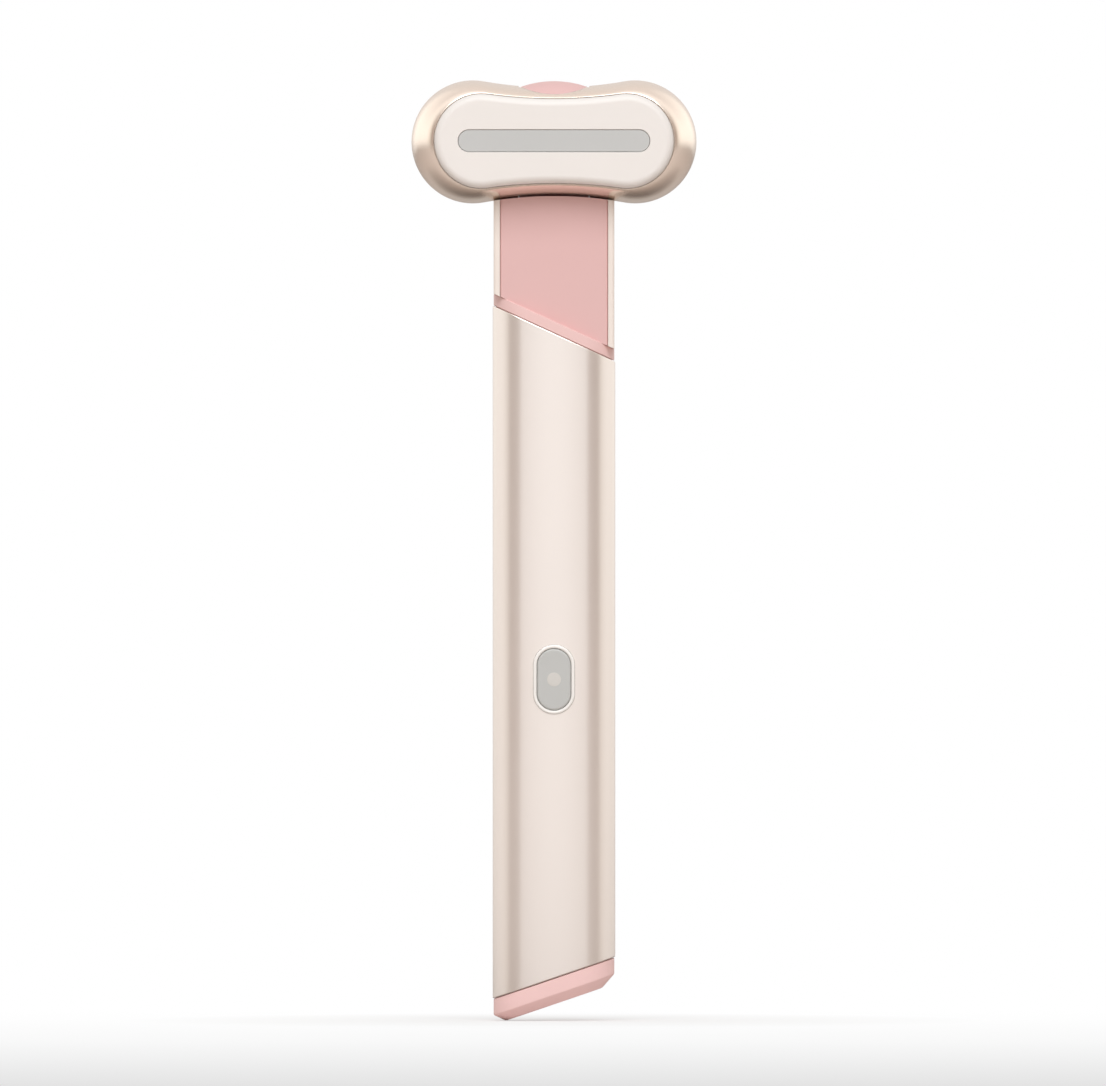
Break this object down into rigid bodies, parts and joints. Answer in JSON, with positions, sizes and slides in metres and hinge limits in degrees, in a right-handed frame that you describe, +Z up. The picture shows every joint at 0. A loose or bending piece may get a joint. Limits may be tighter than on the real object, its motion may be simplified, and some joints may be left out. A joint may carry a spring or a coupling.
{
  "type": "heated eye massager wand",
  "caption": "Slim upright handle with slanted ends and an oblong button; a dog-bone heated head with a light bar tilts on a knuckle at the top of its neck",
  "frame": {"origin": "middle of the width and depth, at the height of the end cap's lowest tip", "axes": "+Z up the handle to the head, -Y the way the treatment face and the button look, +X to the right seen from the front"},
  "size_m": [0.0456, 0.0228, 0.1504],
  "materials": {
    "champagne_anodised": "satin anodised",
    "champagne_gold": "pearl metallic, semi-gloss",
    "light_pink_plastic": "smooth semi-gloss",
    "pink_plastic": "smooth semi-gloss",
    "cream_plastic": "smooth semi-gloss",
    "pale_plate": "fine satin coat",
    "grey_diffuser": "satin",
    "grey_button": "satin",
    "pale_lens": "frosted",
    "black_rubber": "matt",
    "black_plastic": "matt",
    "white_plastic": "matt",
    "heater_copper": "film",
    "led_lens": "clear",
    "circuit_board": "solder mask",
    "red_wire": "wire jacket",
    "cable_jacket": "wire jacket",
    "steel": "plain",
    "battery_foil": "foil",
    "brass": "plain"
  },
  "bodies": {
    "handle": {"handle_tube": "champagne_anodised", "collar": "light_pink_plastic", "end_cap": "light_pink_plastic", "neck_core": "pink_plastic", "neck_back_cover": "cream_plastic", "hinge_axle": "steel", "axle_clips": "steel", "head_cable": "cable_jacket", "chassis": "black_plastic", "neck_screws": "steel", "main_board": "circuit_board", "board_components": "black_plastic", "board_screws": "steel", "usb_socket": "steel", "tact_switch": "black_plastic", "indicator_led": "led_lens", "button_bezel": "cream_plastic", "battery": "battery_foil", "battery_foam": "black_rubber", "motor_can": "steel", "motor_sleeve": "black_rubber"},
    "head": {"head_shell_left": "champagne_gold", "head_shell_right": "champagne_gold", "head_rim": "champagne_gold", "face_plate": "pale_plate", "led_window": "grey_diffuser", "plate_gasket": "black_rubber", "heater_film": "heater_copper", "thermistor": "black_plastic", "led_reflector": "white_plastic", "leds": "led_lens", "led_board": "circuit_board", "head_leads": "red_wire", "head_screws": "steel", "hinge_bushes": "white_plastic", "friction_washers": "black_rubber"},
    "button": {"button_cap": "grey_button", "button_lens": "pale_lens"},
    "plunger": {"switch_plunger": "black_plastic"},
    "rotor": {"motor_rotor": "brass"}
  },
  "joints": [
    {"name": "head_tilt", "type": "hinge", "parent": "handle", "child": "head", "pos_m": [0, 0.00158, 0.14058], "axis": [-1, 0, 0], "range_deg": [0, 180]},
    {"name": "button_press", "type": "slide", "parent": "handle", "child": "button", "axis": [0, 1, 0], "range_m": [0, 0.0003], "stiffness_N_per_m": 1000, "springref_m": -0.0005},
    {"name": "plunger_press", "type": "slide", "parent": "handle", "child": "plunger", "axis": [0, 1, 0], "range_m": [0, 0.0003]},
    {"name": "motor_spin", "type": "hinge", "parent": "handle", "child": "rotor", "pos_m": [0, 0.0029, 0.0839], "axis": [0, 0, 1], "continuous": true}
  ],
  "couplings": [
    {"joint": "plunger_press", "follows": "button_press", "ratio": 1}
  ]
}
